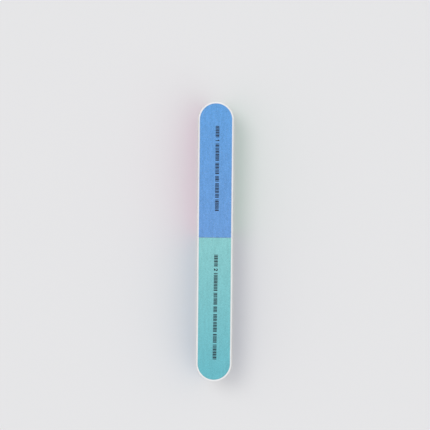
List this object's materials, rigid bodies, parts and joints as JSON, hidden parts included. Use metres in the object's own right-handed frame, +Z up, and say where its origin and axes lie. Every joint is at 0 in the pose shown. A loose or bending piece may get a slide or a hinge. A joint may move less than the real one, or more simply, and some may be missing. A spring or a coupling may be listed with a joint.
{
  "type": "nail buffer block",
  "caption": "Long square foam nail buffer with rounded ends, white rim and a coloured abrasive strip of its own for each step on the four long faces.",
  "frame": {"origin": "middle of the face it rests on (the underside strip of step 7), at the bottom centre of the whole block", "axes": "+X along the block, from the step 1 end to the step 2 end; +Y across it, towards steps 5 and 6; +Z up out of the face with steps 1 and 2"},
  "size_m": [0.178, 0.0232, 0.0232],
  "materials": {
    "foam": "matte",
    "adhesive_film": "satin",
    "backing_paper": "matte",
    "step1_abrasive": "matte",
    "step2_abrasive": "matte",
    "step3_abrasive": "matte",
    "step4_abrasive": "matte",
    "step5_abrasive": "matte",
    "step6_abrasive": "satin",
    "step7_abrasive": "satin",
    "print_ink": "satin"
  },
  "bodies": {
    "root": {"foam_core": "foam", "step1_adhesive": "adhesive_film", "step1_backing": "backing_paper", "step1_grit": "step1_abrasive", "step1_print": "print_ink", "step2_adhesive": "adhesive_film", "step2_backing": "backing_paper", "step2_grit": "step2_abrasive", "step2_print": "print_ink", "step3_adhesive": "adhesive_film", "step3_backing": "backing_paper", "step3_grit": "step3_abrasive", "step3_print": "print_ink", "step4_adhesive": "adhesive_film", "step4_backing": "backing_paper", "step4_grit": "step4_abrasive", "step4_print": "print_ink", "step5_adhesive": "adhesive_film", "step5_backing": "backing_paper", "step5_grit": "step5_abrasive", "step5_print": "print_ink", "step6_adhesive": "adhesive_film", "step6_backing": "backing_paper", "step6_grit": "step6_abrasive", "step6_print": "print_ink", "step7_adhesive": "adhesive_film", "step7_backing": "backing_paper", "step7_grit": "step7_abrasive", "step7_print": "print_ink"}
  },
  "joints": []
}
